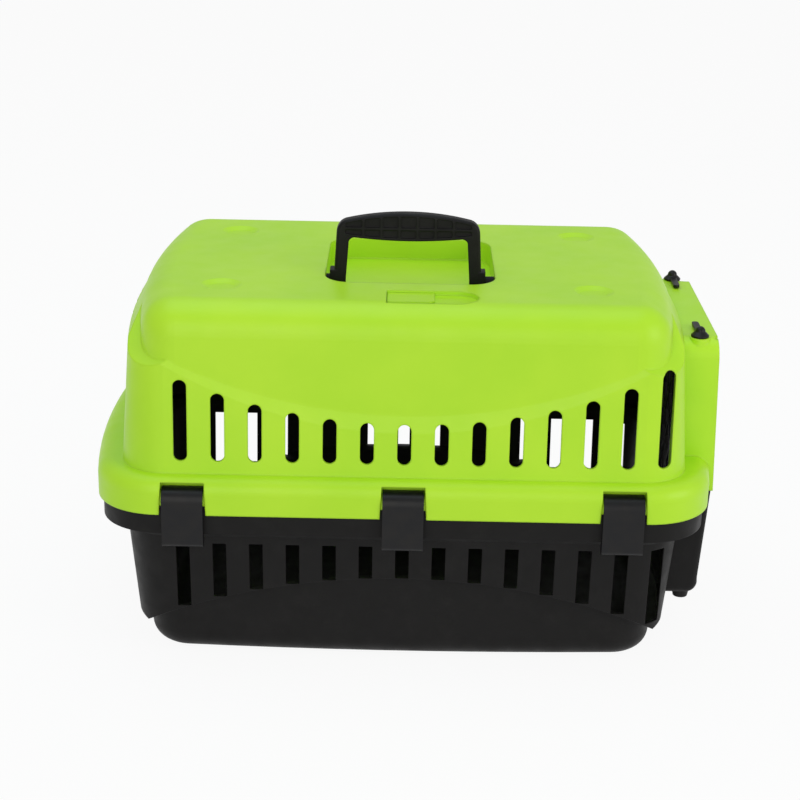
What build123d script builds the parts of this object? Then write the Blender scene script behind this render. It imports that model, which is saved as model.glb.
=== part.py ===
from build123d import *
from math import atan, cos, degrees, radians, sin, sqrt, tan
import os

os.makedirs("parts", exist_ok=True)

# Frame: origin on the ground under the middle of the carrier, +X toward the door, +Z up.
# X positions are measured from the middle side slot, heights from the flat tray floor.
foot_height = 2.0

# Both moulded shells
wall = 2.5
seam_z = 125.0
skirt_length = 472.0
skirt_width = 310.0
skirt_end_radius = 730.0
skirt_corner = 50.0
skirt_top_z = 153.0
skirt_round = 11.8
shell_end_radius = 950.0
lap_depth = 7.0
lap_gap = 1.0
seat_gap = 0.3

# Upper shell: a lower band with slots, and a dome set in above a steep curved ledge
upper_length = skirt_length - 38.0
upper_width = skirt_width - 18.8
upper_corner = 37.0
upper_draft = 4.0
top_z = 278.0
dome_length = upper_length - 25.0
dome_width = upper_width - 13.4
dome_end_radius = 650.0
dome_corner = 30.0
dome_draft = 1.15
dome_round = 24.0
side_ledge_slope = 72.0
upper_side_ledge_z = 186.5
upper_side_ledge_radius = 425.0
upper_side_ledge_out = upper_width / 2 - 4.3
end_ledge_slope = 60.0
upper_end_ledge_z = 247.0
upper_end_ledge_radius = 465.0
upper_end_ledge_out = upper_length / 2 - 8.6
corner_ledge_slope = 35.0
corner_ledge_turn = 60.0
corner_ledge_z = 233.0
corner_ledge_x = upper_length / 2 - 26.5
corner_ledge_y = upper_width / 2 - 13.6

# Tray: a slotted band under the rim, and a bowl set in below a curved ledge
rim_z = 109.0
rim_gusset_height = 6.0
rim_gusset_out = 4.5
lower_length = skirt_length - 45.6
lower_width = skirt_width - 25.2
lower_corner = 36.0
lower_draft = 5.5
bowl_length = lower_length - 24.4
bowl_width = lower_width - 16.6
bowl_end_radius = 1000.0
bowl_side_radius = 3200.0
bowl_corner = 36.0
bowl_draft = 2.5
bowl_round = 15.0
lower_ledge_slope = 25.0
lower_side_ledge_z = 70.0
lower_side_ledge_radius = 500.0
lower_side_ledge_out = lower_width / 2 - 4.4
lower_end_ledge_z = 31.0
lower_end_ledge_out = lower_length / 2 - 12.5

# Slots
slot_pitch = 27.0
slot_width = 10.0
slot_reach = 30.0
first_side_slot = -6
last_side_slot = 7
end_slots_each_side = 4
upper_slot_bottom_z = 162.5
upper_side_slot_top_z = 192.5
upper_side_slot_top_radius = 443.0
upper_end_slot_top_z = 251.0
lower_slot_top_z = 97.0
lower_slot_margin = 0.5
lower_end_slot_bottom_z = 35.0

# Stacking feet and the dimples that take them
stack_x = bowl_length / 2 - 64.0
stack_y = bowl_width / 2 - 55.1
foot_radius = 14.0
foot_face_radius = 9.0
dimple_radius = 15.0
dimple_face_radius = 9.6
dimple_depth = 2.4

# Door surround and door
hood_width = 176.0
hood_top_z = 244.0
hood_bottom_z = 38.0
hood_front_x = skirt_length / 2 - 1.0
hood_rear_x = hood_front_x - 35.0
hood_top_lean = 3.5
hood_bottom_lean = 6.0
hood_top_round = 15.0
hood_bottom_round = 6.0
sill_round = 9.0
door_x = hood_front_x - 17.0
door_pin_y = hood_width / 2 - 11.0
door_pin_radius = 3.0
running_gap = 0.05
mouth_flare = 1.9
groove_depth = 2.2
groove_width = 3.4
door_gap = 3.0
door_thickness = 5.0
door_sleeve_radius = 5.0
door_sleeve_set_in = 4.0
door_frame_width = 9.0
door_bar_width = 5.0
door_bar_pitch = 26.0
door_bar_angle = 55.0
pin_boss_radius = 5.6
pin_boss_draft = 12.0
pin_boss_z = hood_bottom_z - 5.5
pin_ring_radius = 7.7
pin_head_radius = 6.7
pin_head_height = 7.8
pin_head_edge = 1.2
pin_cap_radius = 3.8
lever_length = 28.0
lever_width = 5.0
lever_thickness = 2.2
lever_rise = 0.8

# Side clips
clip_x_step = skirt_length / 2 - 76.0
clip_out = skirt_width / 2 + 2.0
clip_top_z = 144.5
clip_thickness = 2.0
clip_round = 10.0
clip_hook_in = 1.5
clip_width = 30.0
clip_curl_radius = 4.5
clip_pivot_z = rim_z - clip_curl_radius - seat_gap
clip_wrap_angle = 70.0
clip_pin_radius = 1.2
clip_cheek_width = 4.5
clip_lug_gap = 0.3
clip_pad_gap = 1.0
notch_top_z = skirt_top_z - 4.0
notch_gap = 0.8
notch_flare = 1.2

# Carrying handle and its recess
recess_x = 2.0
recess_length = 128.0
recess_near_y = -68.0
recess_far_y = 62.0
recess_corner = 20.0
recess_floor_z = 261.0
handle_y = -40.0
handle_pivot_z = 272.0
handle_length = 106.8
handle_lean = 2.4
handle_leg_width = 9.0
handle_depth = 12.0
handle_top_z = 325.0
handle_arch_radius = 200.0
handle_corner = 10.0
handle_edge_round = 3.0
grip_under_z = 304.3
grip_under_radius = 370.0
handle_boss_length = 2.8
handle_boss_height = 9.0
handle_collar_radius = 4.5
handle_wall_gap = 0.5
handle_pin_radius = 3.0
handle_pin_stickout = 2.0
waffle_columns = 7
waffle_pitch = 13.5
waffle_rib = 2.0
waffle_margin = 2.2
waffle_depth = 1.6
waffle_round = 0.8
waffle_split_z = 313.2

# Sliding hatch in the top
hatch_left_x = -15.0
hatch_recess_length = 67.0
hatch_far_y = 51.9 - dome_width / 2
hatch_recess_width = 30.0
hatch_floor_z = 274.8
hatch_lid_length = 34.5
hatch_lid_width = 23.6
hatch_lid_thickness = 1.6
hatch_gap = 0.4
hatch_hole_length = 29.0
hatch_hole_width = 15.0
hatch_stem_length = 11.6
hatch_flange_lip = 2.0
hatch_notch = 4.0

middle_x = (skirt_length / 2 - hood_front_x) / 2


def level(z):
    """Horizontal plane at a height above the tray floor, facing up."""
    return Plane((middle_x, 0, foot_height + z))


def side_plane(y):
    """Upright plane along the carrier: local x is X, local y is height, facing -Y."""
    return Plane((middle_x, y, foot_height), x_dir=(1, 0, 0), z_dir=(0, -1, 0))


def end_plane(x):
    """Upright plane across the carrier: local x is Y, local y is height, facing +X."""
    return Plane((middle_x + x, 0, foot_height), x_dir=(0, 1, 0), z_dir=(1, 0, 0))


def across(x, side):
    """Upright plane across one side: local x is the distance out from the middle."""
    return Plane((middle_x + x, 0, foot_height), x_dir=(0, side, 0), z_dir=(side, 0, 0))


def sag(radius, offset):
    """Fall of an arc this far from its middle."""
    return radius - sqrt(radius**2 - offset**2)


def ledge_region(half, middle_z, end_z, far_z):
    """Flat region between a ledge's arc and a straight line beyond it."""
    with BuildSketch() as region:
        with BuildLine():
            ThreePointArc((-half, end_z), (0, middle_z), (half, end_z))
            Polyline((half, end_z), (half, far_z), (-half, far_z), (-half, end_z))
        make_face()
    return region.sketch


def bowed_outline(length, width, end_radius, side_radius, corner, gap):
    """Rounded outline set in by a gap, with arcs as its ends, and as its sides if they have a radius."""
    half_x = length / 2 - gap
    half_y = width / 2 - gap
    corner_x = half_x - sag(end_radius - gap, half_y)
    corner_y = half_y
    if side_radius > 0:
        corner_y = half_y - sag(side_radius - gap, half_x)
    with BuildSketch() as outline:
        with BuildLine():
            for side in (1, -1):
                ThreePointArc((side * corner_x, -corner_y), (side * half_x, 0), (side * corner_x, corner_y))
                if side_radius > 0:
                    start, end = (-corner_x, side * corner_y), (corner_x, side * corner_y)
                    ThreePointArc(start, (0, side * half_y), end)
                else:
                    Line((-corner_x, side * corner_y), (corner_x, side * corner_y))
        make_face()
        fillet(outline.vertices(), corner - gap)
    return outline.sketch


def tapered(outline, z, height, draft):
    """Block on an outline at a height, tapering up, or down where its own height is negative."""
    with BuildPart() as block:
        with BuildSketch():
            add(outline)
        extrude(amount=abs(height), taper=draft)
    turned = block.part if height > 0 else block.part.rotate(Axis.X, 180)
    return turned.moved(Location((middle_x, 0, foot_height + z)))


def corner_cut(gap):
    """Block above the slope that joins the side and the end ledge at the front near corner."""
    size = 160.0
    turn = radians(corner_ledge_turn)
    slope = radians(corner_ledge_slope)
    normal = Vector(sin(slope) * cos(turn), -sin(slope) * sin(turn), cos(slope))
    place = Vector(middle_x + corner_ledge_x, -corner_ledge_y, foot_height + corner_ledge_z)
    on_slope = Plane(place - normal * gap, x_dir=(sin(turn), cos(turn), 0), z_dir=normal)
    return on_slope * Box(size, size, size, align=(Align.CENTER, Align.CENTER, Align.MIN), mode=Mode.PRIVATE)


def top_form(gap, skirt_gap):
    """Solid form of the upper shell, with every face set in by a gap."""
    reach = 20.0
    side_slope = radians(side_ledge_slope)
    end_slope = radians(end_ledge_slope)
    side_z = upper_side_ledge_z - gap / cos(side_slope) - reach * tan(side_slope)
    end_z = upper_end_ledge_z - gap / cos(end_slope) - reach * tan(end_slope)
    half_x = upper_length / 2 + reach
    half_y = upper_width / 2
    high_z = top_z + 2 * reach
    side_cut = ledge_region(half_x, side_z, side_z + sag(upper_side_ledge_radius, half_x), high_z)
    end_cut = ledge_region(half_y, end_z, end_z - sag(upper_end_ledge_radius, half_y), high_z)
    band_outline = bowed_outline(upper_length, upper_width, shell_end_radius, 0, upper_corner, gap)
    dome_outline = bowed_outline(dome_length, dome_width, dome_end_radius, 0, dome_corner, gap)
    near_front = corner_cut(gap)
    near_rear = near_front.mirror(Plane.YZ.offset(middle_x))
    with BuildPart() as band:
        add(tapered(band_outline, seam_z, top_z - dome_round / 2 - seam_z, upper_draft))
        for side in (-1, 1):
            with BuildSketch(side_plane(side * (upper_side_ledge_out + reach))):
                add(side_cut)
            inward = (0, -side * cos(side_slope), sin(side_slope))
            extrude(amount=upper_width / 2, dir=inward, mode=Mode.SUBTRACT)
            with BuildSketch(end_plane(side * (upper_end_ledge_out + reach))):
                add(end_cut)
            inward = (-side * cos(end_slope), 0, sin(end_slope))
            extrude(amount=upper_length / 2, dir=inward, mode=Mode.SUBTRACT)
        for block in (near_front, near_rear):
            add(block, mode=Mode.SUBTRACT)
            add(block.mirror(Plane.XZ), mode=Mode.SUBTRACT)
    with BuildPart() as dome:
        add(tapered(dome_outline, seam_z, top_z - gap - seam_z, dome_draft))
        fillet(dome.faces().sort_by(Axis.Z)[-1].edges(), dome_round - gap)
    with BuildPart() as skirt:
        with BuildSketch(level(seam_z)):
            add(bowed_outline(skirt_length, skirt_width, skirt_end_radius, 0, skirt_corner, skirt_gap))
        extrude(amount=skirt_top_z - gap - seam_z)
        fillet(skirt.faces().sort_by(Axis.Z)[-1].edges(), skirt_round - skirt_gap)
    with BuildPart() as form:
        add(band.part)
        add(dome.part)
        add(skirt.part)
    return form.part


def tray_form(gap):
    """Solid form of the tray, with every face set in by a gap."""
    reach = 20.0
    slope = radians(lower_ledge_slope)
    rise = gap / cos(slope) + reach * tan(slope)
    side_z = lower_side_ledge_z + rise
    end_z = lower_end_ledge_z + rise
    half_x = lower_length / 2 + reach
    half_y = lower_width / 2 + reach
    side_cut = ledge_region(half_x, side_z, side_z - sag(lower_side_ledge_radius, half_x), -2 * reach)
    rim_gap = wall + lap_gap + gap
    gusset_gap = gap - rim_gusset_out
    band_outline = bowed_outline(lower_length, lower_width, shell_end_radius, 0, lower_corner, gap)
    bowl_outline = bowed_outline(
        bowl_length, bowl_width, bowl_end_radius, bowl_side_radius, bowl_corner, gap
    )
    gusset_outline = bowed_outline(
        lower_length, lower_width, shell_end_radius, 0, lower_corner, gusset_gap
    )
    with BuildPart() as band:
        add(tapered(band_outline, rim_z, 2 * wall - rim_z, lower_draft))
        for side in (-1, 1):
            with BuildSketch(side_plane(side * (lower_side_ledge_out + reach))):
                add(side_cut)
            inward = (0, -side * cos(slope), -sin(slope))
            extrude(amount=lower_width / 2, dir=inward, mode=Mode.SUBTRACT)
            with BuildSketch(end_plane(side * (lower_end_ledge_out + reach))):
                with Locations((0, end_z)):
                    Rectangle(2 * half_y, end_z + reach, align=(Align.CENTER, Align.MAX))
            inward = (-side * cos(slope), 0, -sin(slope))
            extrude(amount=3 * reach, dir=inward, mode=Mode.SUBTRACT)
    with BuildPart() as bowl:
        add(tapered(bowl_outline, rim_z, gap - rim_z, bowl_draft))
        fillet(bowl.faces().sort_by(Axis.Z)[0].edges(), bowl_round - gap)
    with BuildPart() as rim:
        with BuildSketch(level(rim_z + gap)):
            add(bowed_outline(skirt_length, skirt_width, skirt_end_radius, 0, skirt_corner, rim_gap))
        extrude(amount=seam_z + lap_depth - seat_gap - rim_z)
        gusset_draft = degrees(atan(rim_gusset_out / rim_gusset_height))
        add(tapered(gusset_outline, rim_z + gap, -rim_gusset_height, gusset_draft))
    with BuildPart() as form:
        add(band.part)
        add(bowl.part)
        add(rim.part)
    return form.part


def hood(seam_height, end_height, lean, edge_round, corner_round):
    """Solid block of the door surround, from the seam up or down to its end."""
    with BuildPart() as block:
        with BuildSketch(side_plane(0)) as outline:
            with BuildLine():
                Polyline(
                    (hood_rear_x, seam_height),
                    (hood_front_x, seam_height),
                    (hood_front_x - lean, end_height),
                    (hood_rear_x, end_height),
                    close=True,
                )
            make_face()
            if corner_round > 0:
                low_corner = outline.vertices().group_by(Axis.Y)[0].sort_by(Axis.X)[-1]
                fillet(low_corner, corner_round)
        extrude(amount=hood_width / 2, both=True)
        along = block.edges().filter_by(Axis.X)
        ends = along.group_by(Axis.Z)[-1 if end_height > seam_height else 0]
        fillet(ends, edge_round)
    return block.part


# The way through the door surround
with BuildPart() as doorway:
    doorway_low_z = hood_bottom_z + wall
    doorway_high_z = hood_top_z - wall
    doorway_width = hood_width - 2 * wall
    with BuildSketch(end_plane(dome_length / 2 - 6 * wall)):
        with Locations((0, (doorway_low_z + doorway_high_z) / 2)):
            RectangleRounded(doorway_width, doorway_high_z - doorway_low_z, hood_top_round - wall)
    extrude(amount=hood_front_x)

# Round seats for the door pins: the far one is open to the front, the near one only grooved
with BuildPart() as pin_seats:
    seat_radius = door_pin_radius + running_gap
    mouth_x = hood_front_x + wall
    mouth_half = seat_radius + mouth_flare
    with BuildSketch(level(pin_boss_z + wall)):
        with Locations((door_x, -door_pin_y), (door_x, door_pin_y)):
            Circle(seat_radius)
        with BuildLine():
            Polyline(
                (door_x, door_pin_y - seat_radius),
                (mouth_x, door_pin_y - mouth_half),
                (mouth_x, door_pin_y + mouth_half),
                (door_x, door_pin_y + seat_radius),
                close=True,
            )
        make_face()
    extrude(amount=hood_top_z + wall - pin_boss_z)
    with BuildSketch(level(hood_top_z - 3 * wall)):
        with Locations((hood_front_x - hood_top_lean - groove_depth, -door_pin_y)):
            Rectangle(groove_depth + wall, groove_width, align=(Align.MIN, Align.CENTER))
    extrude(amount=4 * wall)

clip_places = [(step * clip_x_step, side) for side in (-1, 1) for step in (-1, 0, 1)]
clip_pivot_out = clip_out - clip_curl_radius
clip_bend_out = clip_out - clip_round
clip_bend_z = clip_top_z - clip_round
pad_round = clip_round - clip_thickness - clip_pad_gap
rim_out = skirt_width / 2 - wall - lap_gap
lap_z = seam_z + lap_depth
recess_middle_y = (recess_near_y + recess_far_y) / 2
recess_width = recess_far_y - recess_near_y

# Material added inside the upper shell, trimmed to its outer form below
outer_top = top_form(0, 0)
with BuildPart() as thickenings:
    with BuildSketch(level(recess_floor_z - wall)):
        with Locations((recess_x, recess_middle_y)):
            RectangleRounded(recess_length + 2 * wall, recess_width + 2 * wall, recess_corner + wall)
    extrude(amount=top_z - recess_floor_z)
    with BuildSketch(level(top_z - 2 * wall)):
        with GridLocations(2 * stack_x, 2 * stack_y, 2, 2):
            Circle(dimple_radius + wall)
    extrude(amount=wall)
    with BuildSketch(level(hatch_floor_z - wall)):
        with Locations((hatch_left_x - wall, hatch_far_y + wall)):
            Rectangle(
                hatch_recess_length + 2 * wall, hatch_recess_width + 2 * wall, align=(Align.MIN, Align.MAX)
            )
    extrude(amount=2 * wall)
    for x, side in clip_places:
        with BuildSketch(across(x, side)):
            with Locations((upper_width / 2 - 2 * wall, lap_z)):
                pad_depth = skirt_width / 2 - upper_width / 2 + wall
                Rectangle(pad_depth, skirt_top_z - lap_z, align=(Align.MIN, Align.MIN))
        extrude(amount=clip_width / 2 + notch_gap + notch_flare + wall, both=True)
    add(outer_top, mode=Mode.INTERSECT)

# Notch in the skirt around one clip, with the pad that the clip's hook rests over
with BuildPart() as notch:
    with BuildSketch(across(0, -1)):
        with BuildLine():
            pad_z = clip_bend_z + pad_round
            pad_out = clip_bend_out + pad_round
            back_out = upper_width / 2 - (skirt_top_z - seam_z) * tan(radians(upper_draft)) + notch_gap
            free_out = skirt_width / 2 + 2 * wall
            CenterArc((clip_bend_out, clip_bend_z), pad_round, 0, 90)
            Polyline(
                (clip_bend_out, pad_z),
                (back_out, pad_z),
                (back_out, notch_top_z),
                (free_out, notch_top_z),
                (free_out, seam_z - wall),
                (rim_out + notch_gap, seam_z - wall),
                (rim_out + notch_gap, lap_z),
                (pad_out, lap_z),
                (pad_out, clip_bend_z),
            )
        make_face()
    extrude(amount=clip_width, both=True)
    with BuildSketch(side_plane(0)):
        with BuildLine():
            notch_half = clip_width / 2 + notch_gap
            Polyline(
                (-notch_half, notch_top_z),
                (notch_half, notch_top_z),
                (notch_half + notch_flare, seam_z - wall),
                (-notch_half - notch_flare, seam_z - wall),
                close=True,
            )
        make_face()
    extrude(amount=skirt_width, both=True, mode=Mode.INTERSECT)

# Upper shell
inner_top = top_form(wall, 2 * wall)
upper_hood = hood(seam_z, hood_top_z, hood_top_lean, hood_top_round, 0)
with BuildPart() as top_shell:
    add(outer_top)
    add(inner_top, mode=Mode.SUBTRACT)
    with BuildSketch(level(seam_z)):
        add(bowed_outline(skirt_length, skirt_width, skirt_end_radius, 0, skirt_corner, wall))
    extrude(amount=lap_depth, mode=Mode.SUBTRACT)
    add(thickenings.part)
    add(upper_hood)
    with BuildSketch(level(hood_top_z - hood_top_round)):
        with Locations((door_x, -door_pin_y), (door_x, door_pin_y)):
            Circle(pin_ring_radius)
    extrude(amount=hood_top_round)
    add(doorway.part, mode=Mode.SUBTRACT)
    add(pin_seats.part, mode=Mode.SUBTRACT)
    for x, side in clip_places:
        placed = notch.part if side < 0 else notch.part.mirror(Plane.XZ)
        add(placed.moved(Location((x, 0, 0))), mode=Mode.SUBTRACT)
    with BuildSketch(side_plane(slot_reach - upper_width / 2), side_plane(upper_width / 2)):
        for k in range(first_side_slot, last_side_slot + 1):
            slot_top = upper_side_slot_top_z + sag(upper_side_slot_top_radius, k * slot_pitch)
            with Locations((k * slot_pitch, (slot_top + upper_slot_bottom_z) / 2)):
                SlotOverall(slot_top - upper_slot_bottom_z, slot_width, rotation=90)
    extrude(amount=slot_reach, mode=Mode.SUBTRACT)
    with BuildSketch(end_plane(-upper_length / 2)):
        for k in range(-end_slots_each_side, end_slots_each_side + 1):
            slot_top = upper_end_slot_top_z - sag(upper_end_ledge_radius, k * slot_pitch)
            with Locations((k * slot_pitch, (slot_top + upper_slot_bottom_z) / 2)):
                SlotOverall(slot_top - upper_slot_bottom_z, slot_width, rotation=90)
    extrude(amount=slot_reach, mode=Mode.SUBTRACT)
    with BuildSketch(level(recess_floor_z)):
        with Locations((recess_x, recess_middle_y)):
            RectangleRounded(recess_length, recess_width, recess_corner)
    extrude(amount=top_z, mode=Mode.SUBTRACT)
    with BuildSketch(end_plane(recess_x)):
        with Locations((handle_y, handle_pivot_z)):
            Circle(handle_pin_radius + running_gap)
    extrude(amount=recess_length / 2 + 2 * wall, both=True, mode=Mode.SUBTRACT)
    with Locations((middle_x, 0, foot_height + top_z)):
        with GridLocations(2 * stack_x, 2 * stack_y, 2, 2):
            top_align = (Align.CENTER, Align.CENTER, Align.MAX)
            Cone(dimple_face_radius, dimple_radius, dimple_depth, align=top_align, mode=Mode.SUBTRACT)
    with BuildSketch(level(hatch_floor_z)):
        hatch_end_radius = hatch_recess_width / 2
        hatch_end_x = hatch_left_x + hatch_recess_length - hatch_end_radius
        with Locations((hatch_left_x, hatch_far_y)):
            Rectangle(hatch_end_x - hatch_left_x, hatch_recess_width, align=(Align.MIN, Align.MAX))
        with Locations((hatch_end_x, hatch_far_y - hatch_end_radius)):
            Circle(hatch_end_radius)
    extrude(amount=top_z - hatch_floor_z, mode=Mode.SUBTRACT)
    hatch_middle_y = hatch_far_y - hatch_gap - hatch_lid_width / 2
    hole_left_x = hatch_left_x + (hatch_lid_length - hatch_hole_length) / 2
    with BuildSketch(level(hatch_floor_z - 2 * wall)):
        with Locations((hole_left_x, hatch_middle_y)):
            Rectangle(hatch_hole_length, hatch_hole_width, align=(Align.MIN, Align.CENTER))
    extrude(amount=3 * wall, mode=Mode.SUBTRACT)
top_shell.part.label = "top_shell"

# Tray with the lower half of the door surround, the pin bosses, clip lugs and feet
lower_hood = hood(seam_z - seat_gap, hood_bottom_z, hood_bottom_lean, hood_bottom_round, sill_round)
with BuildPart() as bottom_tray:
    add(tray_form(0))
    add(tray_form(wall), mode=Mode.SUBTRACT)
    with BuildSketch(level(seam_z - seat_gap)):
        with Locations((hood_rear_x, 0)):
            Rectangle(skirt_length, hood_width + 2 * lap_gap, align=(Align.MIN, Align.CENTER))
    extrude(amount=skirt_top_z, mode=Mode.SUBTRACT)
    add(lower_hood)
    with BuildSketch(level(pin_boss_z)):
        with Locations((door_x, -door_pin_y), (door_x, door_pin_y)):
            Circle(pin_boss_radius)
    extrude(amount=hood_bottom_z + wall - pin_boss_z, taper=-pin_boss_draft)
    add(doorway.part, mode=Mode.SUBTRACT)
    add(pin_seats.part, mode=Mode.SUBTRACT)
    for x, side in clip_places:
        with BuildSketch(across(x, side)):
            with Locations((clip_pivot_out, clip_pivot_z)):
                Circle(clip_curl_radius - clip_thickness - clip_lug_gap)
            neck_out = clip_pivot_out - clip_curl_radius + clip_lug_gap
            with Locations((neck_out, clip_pivot_z)):
                neck_height = rim_z + wall / 2 - clip_pivot_z
                Rectangle(rim_out - neck_out, neck_height, align=(Align.MIN, Align.MIN))
            with Locations((clip_pivot_out, clip_pivot_z)):
                Circle(clip_pin_radius + running_gap, mode=Mode.SUBTRACT)
        extrude(amount=clip_width / 2 - clip_cheek_width - clip_lug_gap, both=True)
    with BuildSketch(side_plane(slot_reach - lower_width / 2), side_plane(lower_width / 2)):
        for k in range(first_side_slot, last_side_slot + 1):
            ledge_z = lower_side_ledge_z - sag(lower_side_ledge_radius, k * slot_pitch)
            with Locations((k * slot_pitch, lower_slot_top_z)):
                side_slot_height = lower_slot_top_z - lower_slot_margin - ledge_z
                Rectangle(slot_width, side_slot_height, align=(Align.CENTER, Align.MAX))
    extrude(amount=slot_reach, mode=Mode.SUBTRACT)
    with BuildSketch(end_plane(-lower_length / 2)):
        end_slot_height = lower_slot_top_z - lower_end_slot_bottom_z
        for k in range(-end_slots_each_side, end_slots_each_side + 1):
            with Locations((k * slot_pitch, lower_slot_top_z)):
                Rectangle(slot_width, end_slot_height, align=(Align.CENTER, Align.MAX))
    extrude(amount=slot_reach / 2, mode=Mode.SUBTRACT)
    with Locations((middle_x, 0, foot_height)):
        with GridLocations(2 * stack_x, 2 * stack_y, 2, 2):
            Cone(foot_face_radius, foot_radius, foot_height, align=top_align)
bottom_tray.part.label = "bottom_tray"

# Door: two sleeves joined by a framed lattice of crossing bars
door_low_z = doorway_low_z + door_gap
door_high_z = doorway_high_z - door_gap
door_middle_z = (door_low_z + door_high_z) / 2
door_width = 2 * door_pin_y
door_height = door_high_z - door_low_z
window_width = door_width - 2 * door_frame_width
window_height = door_height - 2 * door_frame_width
with BuildPart() as door_grille:
    with BuildSketch(end_plane(door_x)):
        bars = round(window_height / door_bar_pitch)
        for angle in (door_bar_angle, -door_bar_angle):
            with Locations(*[(k * door_bar_pitch, door_middle_z) for k in range(-bars, bars + 1)]):
                Rectangle(3 * window_height, door_bar_width, rotation=angle)
        with Locations((0, door_middle_z)):
            Rectangle(window_width, window_height, mode=Mode.INTERSECT)
    extrude(amount=door_thickness / 2, both=True)
    with BuildSketch(end_plane(door_x)):
        with Locations((0, door_middle_z)):
            Rectangle(door_width, door_height)
            RectangleRounded(window_width, window_height, door_frame_width / 2, mode=Mode.SUBTRACT)
    extrude(amount=door_thickness / 2, both=True)
    with BuildSketch(level(door_low_z + door_sleeve_set_in)):
        with Locations((door_x, -door_pin_y), (door_x, door_pin_y)):
            Circle(door_sleeve_radius)
    extrude(amount=door_height - 2 * door_sleeve_set_in)
    with BuildSketch(level(door_low_z)):
        with Locations((door_x, -door_pin_y), (door_x, door_pin_y)):
            Circle(door_pin_radius + running_gap)
    extrude(amount=door_height, mode=Mode.SUBTRACT)
door_grille.part.label = "door_grille"


def door_pin(side):
    """Upright door pin with its domed head and the lever that points to the door's middle."""
    foot_z = pin_boss_z + wall + seat_gap
    head_z = hood_top_z + seat_gap
    cap_z = head_z + pin_head_height - pin_cap_radius
    place = (middle_x + door_x, side * door_pin_y, foot_height)
    with BuildPart() as pin:
        with BuildSketch(Plane(place, x_dir=(1, 0, 0), z_dir=(0, -1, 0))):
            with BuildLine():
                Polyline(
                    (door_pin_radius, head_z),
                    (door_pin_radius, foot_z),
                    (0, foot_z),
                    (0, head_z + pin_head_height),
                )
                Polyline(
                    (door_pin_radius, head_z),
                    (pin_head_radius, head_z),
                    (pin_head_radius, head_z + pin_head_edge),
                    (pin_cap_radius, cap_z),
                )
                CenterArc((0, cap_z), pin_cap_radius, 0, 90)
            make_face()
        revolve(axis=Axis(place, (0, 0, 1)))
        with BuildSketch(level(head_z + lever_rise)):
            with Locations((door_x, side * (door_pin_y - lever_length / 2))):
                SlotOverall(lever_length, lever_width, rotation=90)
        extrude(amount=lever_thickness)
    return pin.part


def clip_with_pin(x, side):
    """Side clip: plate, hook over the skirt, curl under the rim, and its hinge pin."""
    inner_curl = clip_curl_radius - clip_thickness
    inner_round = clip_round - clip_thickness
    pivot = (clip_pivot_out, clip_pivot_z)
    bend = (clip_bend_out, clip_bend_z)
    with BuildPart() as clip:
        with BuildSketch(across(x, side)):
            with BuildLine():
                hook_out = clip_bend_out - clip_hook_in
                Line((hook_out, clip_top_z), (clip_bend_out, clip_top_z))
                CenterArc(bend, clip_round, 0, 90)
                Line((clip_out, clip_bend_z), (clip_out, clip_pivot_z))
                outer = CenterArc(pivot, clip_curl_radius, -clip_wrap_angle, clip_wrap_angle)
                inner = CenterArc(pivot, inner_curl, -clip_wrap_angle, clip_wrap_angle)
                Line(outer @ 0, inner @ 0)
                Line((clip_out - clip_thickness, clip_pivot_z), (clip_out - clip_thickness, clip_bend_z))
                CenterArc(bend, inner_round, 0, 90)
                Polyline(
                    (clip_bend_out, clip_bend_z + inner_round),
                    (hook_out, clip_bend_z + inner_round),
                    (hook_out, clip_top_z),
                )
            make_face()
        extrude(amount=clip_width / 2, both=True)
        cheek_x = (clip_width - clip_cheek_width) / 2
        with BuildSketch(across(x - cheek_x, side), across(x + cheek_x, side)):
            with Locations(pivot):
                Circle(clip_curl_radius)
        extrude(amount=clip_cheek_width / 2, both=True)
        with BuildSketch(across(x, side)):
            with Locations(pivot):
                Circle(clip_pin_radius)
        extrude(amount=cheek_x, both=True)
    return clip.part


# Pockets of the grip, in two rows between the handle's arch and its belly
handle_half = handle_length / 2
with BuildSketch() as waffle:
    waffle_half = waffle_columns * waffle_pitch / 2
    with BuildLine():
        high_z = handle_top_z - waffle_margin
        low_z = grip_under_z + waffle_rib
        high_end = (waffle_half, high_z - sag(handle_arch_radius, waffle_half))
        low_end = (waffle_half, low_z + sag(grip_under_radius, waffle_half))
        ThreePointArc((-waffle_half, high_end[1]), (0, high_z), high_end)
        Line(high_end, low_end)
        ThreePointArc(low_end, (0, low_z), (-waffle_half, low_end[1]))
        Line((-waffle_half, low_end[1]), (-waffle_half, high_end[1]))
    make_face()
    with Locations((0, waffle_split_z)):
        Rectangle(handle_length, waffle_rib, mode=Mode.SUBTRACT)
        with GridLocations(waffle_pitch, 1, waffle_columns - 1, 1):
            Rectangle(waffle_rib, handle_length, mode=Mode.SUBTRACT)
    fillet(waffle.vertices(), waffle_round)

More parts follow.
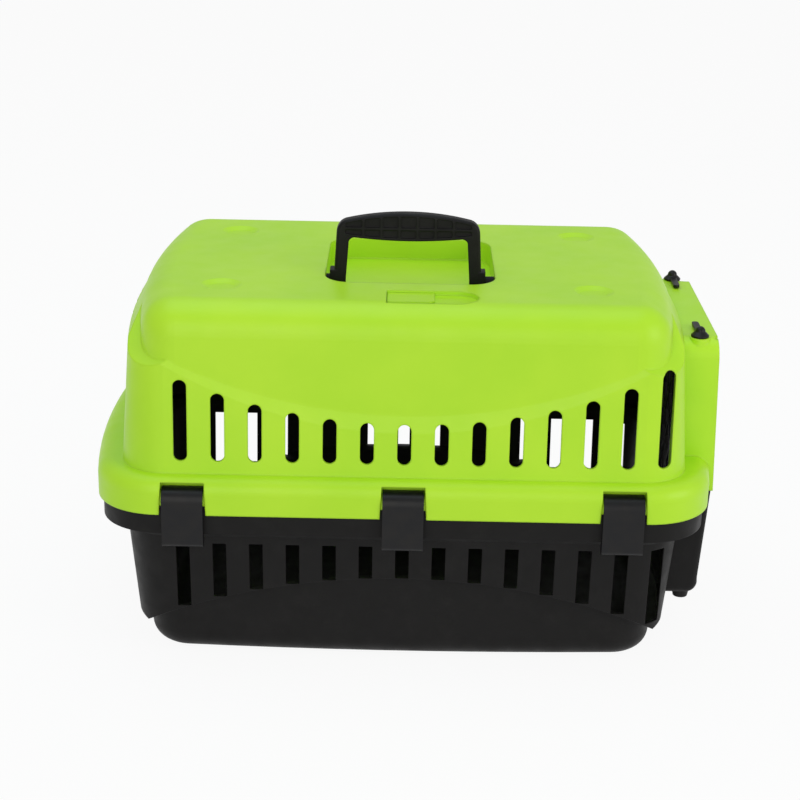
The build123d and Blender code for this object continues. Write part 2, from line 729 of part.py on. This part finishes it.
# Carrying handle: bail with a waffled grip, stepped pivot bosses and pins
foot_half = handle_half + handle_lean
leg_middle_x = foot_half - handle_leg_width / 2
with BuildPart() as carry_handle:
    with BuildSketch(side_plane(handle_y)) as bail:
        with BuildLine():
            shoulder_z = handle_top_z - sag(handle_arch_radius, handle_half)
            ThreePointArc((-handle_half, shoulder_z), (0, handle_top_z), (handle_half, shoulder_z))
            Polyline(
                (handle_half, shoulder_z),
                (foot_half, handle_pivot_z),
                (-foot_half, handle_pivot_z),
                (-handle_half, shoulder_z),
            )
        make_face()
        fillet(bail.vertices().group_by(Axis.Y)[-1], handle_corner)
    extrude(amount=handle_depth / 2, both=True)
    outer_edges = carry_handle.faces().filter_by(Axis.Y).edges()
    above_pivot = (foot_height + handle_pivot_z + wall, foot_height + handle_top_z + wall)
    fillet(outer_edges.filter_by_position(Axis.Z, *above_pivot), handle_edge_round)
    with BuildSketch(side_plane(handle_y)) as hole:
        with BuildLine():
            hole_half = handle_half - handle_leg_width
            hole_foot_half = foot_half - handle_leg_width
            hole_end_z = grip_under_z + sag(grip_under_radius, hole_half)
            hole_low_z = handle_pivot_z - handle_depth
            ThreePointArc((-hole_half, hole_end_z), (0, grip_under_z), (hole_half, hole_end_z))
            Polyline(
                (hole_half, hole_end_z),
                (hole_foot_half, handle_pivot_z),
                (hole_foot_half, hole_low_z),
                (-hole_foot_half, hole_low_z),
                (-hole_foot_half, handle_pivot_z),
                (-hole_half, hole_end_z),
            )
        make_face()
        fillet(hole.vertices().group_by(Axis.Y)[-1], handle_leg_width / 2)
    extrude(amount=handle_depth, both=True, mode=Mode.SUBTRACT)
    with BuildSketch(end_plane(-leg_middle_x), end_plane(leg_middle_x)):
        with Locations((handle_y, handle_pivot_z)):
            Circle(handle_depth / 2)
    extrude(amount=handle_leg_width / 2, both=True)
    with BuildSketch(end_plane(-foot_half), end_plane(foot_half)):
        with Locations((handle_y, handle_pivot_z)):
            Circle(handle_depth / 2)
            Rectangle(handle_depth, handle_boss_height, align=(Align.CENTER, Align.MIN))
    extrude(amount=handle_boss_length, both=True)
    for side in (-1, 1):
        wall_x = recess_length / 2 + side * recess_x
        for radius, end_x in (
            (handle_collar_radius, wall_x - handle_wall_gap),
            (handle_pin_radius, wall_x + wall + handle_pin_stickout),
        ):
            with BuildSketch(end_plane(side * (leg_middle_x + end_x) / 2)):
                with Locations((handle_y, handle_pivot_z)):
                    Circle(radius)
            extrude(amount=(end_x - leg_middle_x) / 2, both=True)
    with BuildSketch(side_plane(handle_y - handle_depth / 2), side_plane(handle_y + handle_depth / 2)):
        add(waffle.sketch)
    extrude(amount=waffle_depth, both=True, mode=Mode.SUBTRACT)
carry_handle.part.label = "carry_handle"

# Sliding hatch: lid, stem through the hole, and the lip that holds it under the shell
with BuildPart() as hatch_slide:
    lid_z = hatch_floor_z + seat_gap / 2
    lid_left_x = hatch_left_x + hatch_gap
    stem_left_x = hole_left_x + hatch_gap
    lip_top_z = hatch_floor_z - wall - seat_gap
    from_left = (Align.MIN, Align.CENTER)
    with BuildSketch(level(lid_z)):
        with BuildLine():
            near_y = hatch_middle_y - hatch_lid_width / 2
            far_y = hatch_middle_y + hatch_lid_width / 2
            lid_right_x = lid_left_x + hatch_lid_length
            Polyline(
                (lid_left_x, near_y),
                (lid_right_x - hatch_notch, near_y),
                (lid_right_x, near_y + hatch_notch),
                (lid_right_x, far_y),
                (lid_left_x, far_y),
                close=True,
            )
        make_face()
    extrude(amount=hatch_lid_thickness)
    with BuildSketch(level(lip_top_z)):
        with Locations((stem_left_x, hatch_middle_y)):
            Rectangle(hatch_stem_length, hatch_hole_width - 2 * hatch_gap, align=from_left)
    extrude(amount=lid_z - lip_top_z)
    with BuildSketch(level(lip_top_z - hatch_lid_thickness)):
        with Locations((stem_left_x, hatch_middle_y)):
            Rectangle(hatch_stem_length, hatch_hole_width + 2 * hatch_flange_lip, align=from_left)
    extrude(amount=hatch_lid_thickness)
hatch_slide.part.label = "hatch_slide"

pieces = [top_shell.part, bottom_tray.part, door_grille.part, carry_handle.part, hatch_slide.part]
for side, side_name in ((-1, "near"), (1, "far")):
    piece = door_pin(side)
    piece.label = "door_pin_" + side_name
    pieces.append(piece)
    for step, place_name in ((-1, "rear"), (0, "middle"), (1, "front")):
        piece = clip_with_pin(step * clip_x_step, side)
        piece.label = "clip_" + side_name + "_" + place_name
        pieces.append(piece)

for piece in pieces:
    export_step(piece, "parts/" + piece.label + ".step")
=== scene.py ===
from math import radians

import bpy
from mathutils import Matrix, Vector

# Frame: metres, +X toward the door, -Y the photographed side, +Z up, ground at 0
CAMERA_PLACE = (-0.00177, -1.34827, 0.64743)
CAMERA_PITCH = 19.74
CAMERA_YAW = 0.07
CAMERA_ROLL = 1.13
CAMERA_LENS = 80.68
CAMERA_SENSOR = 36
CAMERA_NEAR = 0.05

# Colours, linear
LIME = (0.455, 0.765, 0.020)
LIME_DEEP = (0.415, 0.735, 0.015)
BLACK = (0.0060, 0.0056, 0.0055)
BLACK_WORN = (0.0100, 0.0092, 0.0090)
CLIP_BLACK = (0.0065, 0.0065, 0.0078)
WHITE = (1, 1, 1)
SKY_TINT = (0.72, 0.91, 1.0)
WARM_TINT = (1.0, 0.985, 0.93)

LIME_NODES = ("top_shell", "hatch_slide")
BLACK_NODES = ("bottom_tray", "door_grille", "carry_handle")
CLIP_NODES = (
    "door_pin_near",
    "door_pin_far",
    "clip_near_rear",
    "clip_near_middle",
    "clip_near_front",
    "clip_far_rear",
    "clip_far_middle",
    "clip_far_front",
)

EDGE_SAMPLES = 8
GRAIN_DETAIL = 3

# Floor just under the feet, reaching far past the carrier. The share is how much of
# what the camera sees is plain white; the rest shows the shadow.
FLOOR_DROP = 0.0005
FLOOR_SIZE = 40
FLOOR_GREY = (0.80, 0.80, 0.80)
FLOOR_GLOW_SHARE = 0.92

# Strength of the surround as light, and as the camera sees it
WORLD_LIGHT = 0.55
WORLD_SEEN = 1.0

# Sizes in metres, powers in watts
LAMP_TARGET = (0, 0, 0.15)
LAMPS = (
    {"name": "overhead", "place": (-0.2, 0.1, 1.9), "size": 1.6, "power": 10, "tint": SKY_TINT},
    {"name": "front", "place": (-0.4, -2.3, 0.9), "size": 1.6, "power": 13, "tint": WARM_TINT},
    {"name": "side", "place": (1.9, -1.1, 0.9), "size": 1.2, "power": 13, "tint": WARM_TINT},
)


def emptied_tree(owner):
    """Node tree of a new material or world, without its default nodes."""
    owner.use_nodes = True
    owner.node_tree.nodes.clear()
    return owner.node_tree


def noise(tree, scale, detail, roughness=0.5):
    """Noise on the object's own coordinates, in cycles per metre."""
    place = tree.nodes.new("ShaderNodeTexCoord")
    texture = tree.nodes.new("ShaderNodeTexNoise")
    texture.inputs["Scale"].default_value = scale
    texture.inputs["Detail"].default_value = detail
    texture.inputs["Roughness"].default_value = roughness
    tree.links.new(place.outputs["Object"], texture.inputs["Vector"])
    return texture.outputs["Fac"]


def remap(tree, value, span, out_span):
    """Linear map of a value from one span to another, clamped to the second."""
    node = tree.nodes.new("ShaderNodeMapRange")
    node.inputs["From Min"].default_value = span[0]
    node.inputs["From Max"].default_value = span[1]
    node.inputs["To Min"].default_value = out_span[0]
    node.inputs["To Max"].default_value = out_span[1]
    tree.links.new(value, node.inputs["Value"])
    return node.outputs["Result"]


def blend_colours(tree, factor, first, second):
    """Mix of two colours by a factor output."""
    node = tree.nodes.new("ShaderNodeMix")
    node.data_type = "RGBA"
    node.inputs["A"].default_value = (*first, 1)
    node.inputs["B"].default_value = (*second, 1)
    tree.links.new(factor, node.inputs["Factor"])
    return node.outputs["Result"]


def surface_relief(tree, shader, edge_radius, grain_scale, grain_height):
    """Rounded edges and the fine spark-eroded grain of a moulded surface."""
    edge = tree.nodes.new("ShaderNodeBevel")
    edge.samples = EDGE_SAMPLES
    edge.inputs["Radius"].default_value = edge_radius
    bump = tree.nodes.new("ShaderNodeBump")
    bump.inputs["Strength"].default_value = 1.0
    bump.inputs["Distance"].default_value = grain_height
    tree.links.new(noise(tree, grain_scale, GRAIN_DETAIL), bump.inputs["Height"])
    tree.links.new(edge.outputs["Normal"], bump.inputs["Normal"])
    tree.links.new(bump.outputs["Normal"], shader.inputs["Normal"])


def moulded_plastic(name, colours, patches, patch_span, sheen, sheen_span, roughness, specular, relief):
    """Moulded plastic with patchy colour, an uneven sheen, soft edges and a fine grain.

    patches and sheen hold the settings of a noise, and the spans its values between
    which the colour or the roughness goes from the first to the second.
    """
    material = bpy.data.materials.new(name)
    tree = emptied_tree(material)
    shader = tree.nodes.new("ShaderNodeBsdfPrincipled")
    output = tree.nodes.new("ShaderNodeOutputMaterial")
    tree.links.new(shader.outputs["BSDF"], output.inputs["Surface"])
    patch = remap(tree, noise(tree, **patches), patch_span, (0, 1))
    tree.links.new(blend_colours(tree, patch, *colours), shader.inputs["Base Color"])
    uneven = remap(tree, noise(tree, **sheen), sheen_span, roughness)
    tree.links.new(uneven, shader.inputs["Roughness"])
    shader.inputs["Specular IOR Level"].default_value = specular
    surface_relief(tree, shader, **relief)
    return material


def lime_plastic():
    """Lime polypropylene: smooth satin with faint flow marks and a fine grain."""
    return moulded_plastic(
        "lime_plastic",
        colours=(LIME_DEEP, LIME),
        patches={"scale": 14, "detail": 4},
        patch_span=(0.35, 0.65),
        sheen={"scale": 60, "detail": 5},
        sheen_span=(0.3, 0.7),
        roughness=(0.36, 0.46),
        specular=0.40,
        relief={"edge_radius": 0.0020, "grain_scale": 1800, "grain_height": 0.00004},
    )


def black_plastic():
    """Black polypropylene: satin, lightly scuffed, with a leathery moulded grain."""
    return moulded_plastic(
        "black_plastic",
        colours=(BLACK, BLACK_WORN),
        patches={"scale": 45, "detail": 8, "roughness": 0.7},
        patch_span=(0.5, 0.75),
        sheen={"scale": 80, "detail": 6},
        sheen_span=(0.3, 0.7),
        roughness=(0.42, 0.58),
        specular=0.17,
        relief={"edge_radius": 0.0012, "grain_scale": 1500, "grain_height": 0.00006},
    )


def clip_plastic():
    """Black acetal of the clips and door pins: harder and glossier than the tray."""
    return moulded_plastic(
        "clip_plastic",
        colours=(CLIP_BLACK, BLACK_WORN),
        patches={"scale": 90, "detail": 6},
        patch_span=(0.4, 0.7),
        sheen={"scale": 120, "detail": 5},
        sheen_span=(0.3, 0.7),
        roughness=(0.30, 0.42),
        specular=0.24,
        relief={"edge_radius": 0.0008, "grain_scale": 2200, "grain_height": 0.00002},
    )


def paint(frame, names, material):
    """Gives the material slots of the named CAD nodes one material."""
    for name in names:
        for material_slot in frame["nodes"][name].material_slots:
            material_slot.material = material


def floor():
    """Floor that is white to the camera and in reflections, and keeps a soft shadow."""
    bpy.ops.mesh.primitive_plane_add(size=FLOOR_SIZE, location=(0, 0, -FLOOR_DROP))
    plane = bpy.context.object
    plane.name = "floor"
    material = bpy.data.materials.new("floor_white")
    tree = emptied_tree(material)
    paths = tree.nodes.new("ShaderNodeLightPath")
    seen = tree.nodes.new("ShaderNodeMath")
    seen.operation = "MAXIMUM"
    tree.links.new(paths.outputs["Is Camera Ray"], seen.inputs[0])
    tree.links.new(paths.outputs["Is Glossy Ray"], seen.inputs[1])
    share = remap(tree, seen.outputs["Value"], (0, 1), (0, FLOOR_GLOW_SHARE))
    matt = tree.nodes.new("ShaderNodeBsdfDiffuse")
    matt.inputs["Color"].default_value = (*FLOOR_GREY, 1)
    glow = tree.nodes.new("ShaderNodeEmission")
    glow.inputs["Color"].default_value = (*WHITE, 1)
    glow.inputs["Strength"].default_value = 1.0
    mix = tree.nodes.new("ShaderNodeMixShader")
    output = tree.nodes.new("ShaderNodeOutputMaterial")
    tree.links.new(share, mix.inputs["Fac"])
    tree.links.new(matt.outputs["BSDF"], mix.inputs[1])
    tree.links.new(glow.outputs["Emission"], mix.inputs[2])
    tree.links.new(mix.outputs["Shader"], output.inputs["Surface"])
    plane.data.materials.append(material)


def studio():
    """White surround that lights the carrier less brightly than the camera sees it."""
    world = bpy.data.worlds.new("studio")
    bpy.context.scene.world = world
    tree = emptied_tree(world)
    paths = tree.nodes.new("ShaderNodeLightPath")
    strength = remap(tree, paths.outputs["Is Camera Ray"], (0, 1), (WORLD_LIGHT, WORLD_SEEN))
    background = tree.nodes.new("ShaderNodeBackground")
    background.inputs["Color"].default_value = (*WHITE, 1)
    output = tree.nodes.new("ShaderNodeOutputWorld")
    tree.links.new(strength, background.inputs["Strength"])
    tree.links.new(background.outputs["Background"], output.inputs["Surface"])


def area_lamp(name, place, size, power, tint):
    """Square soft lamp at a place, aimed at the middle of the carrier."""
    data = bpy.data.lights.new(name, "AREA")
    data.size = size
    data.energy = power
    data.color = tint
    lamp = bpy.data.objects.new(name, data)
    bpy.context.scene.collection.objects.link(lamp)
    aim = Vector(LAMP_TARGET) - Vector(place)
    lamp.matrix_world = Matrix.Translation(place) @ aim.to_track_quat("-Z", "Y").to_matrix().to_4x4()


def camera():
    """Camera at the photograph's viewing angle."""
    data = bpy.data.cameras.new("camera")
    data.lens = CAMERA_LENS
    data.sensor_width = CAMERA_SENSOR
    data.clip_start = CAMERA_NEAR
    view = bpy.data.objects.new("camera", data)
    bpy.context.scene.collection.objects.link(view)
    turn = (
        Matrix.Rotation(radians(CAMERA_YAW), 4, "Z")
        @ Matrix.Rotation(radians(90 - CAMERA_PITCH), 4, "X")
        @ Matrix.Rotation(radians(CAMERA_ROLL), 4, "Z")
    )
    view.matrix_world = Matrix.Translation(CAMERA_PLACE) @ turn
    bpy.context.scene.camera = view


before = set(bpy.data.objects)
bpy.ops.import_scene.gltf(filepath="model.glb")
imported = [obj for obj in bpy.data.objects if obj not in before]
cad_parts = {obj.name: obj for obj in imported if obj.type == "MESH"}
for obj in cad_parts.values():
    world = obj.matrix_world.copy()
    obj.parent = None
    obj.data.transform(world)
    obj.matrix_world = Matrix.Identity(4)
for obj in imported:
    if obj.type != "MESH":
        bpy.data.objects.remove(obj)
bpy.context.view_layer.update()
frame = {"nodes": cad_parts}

paint(frame, LIME_NODES, lime_plastic())
paint(frame, BLACK_NODES, black_plastic())
paint(frame, CLIP_NODES, clip_plastic())

floor()
studio()
for lamp in LAMPS:
    area_lamp(**lamp)
camera()
bpy.context.scene.view_settings.view_transform = "Standard"
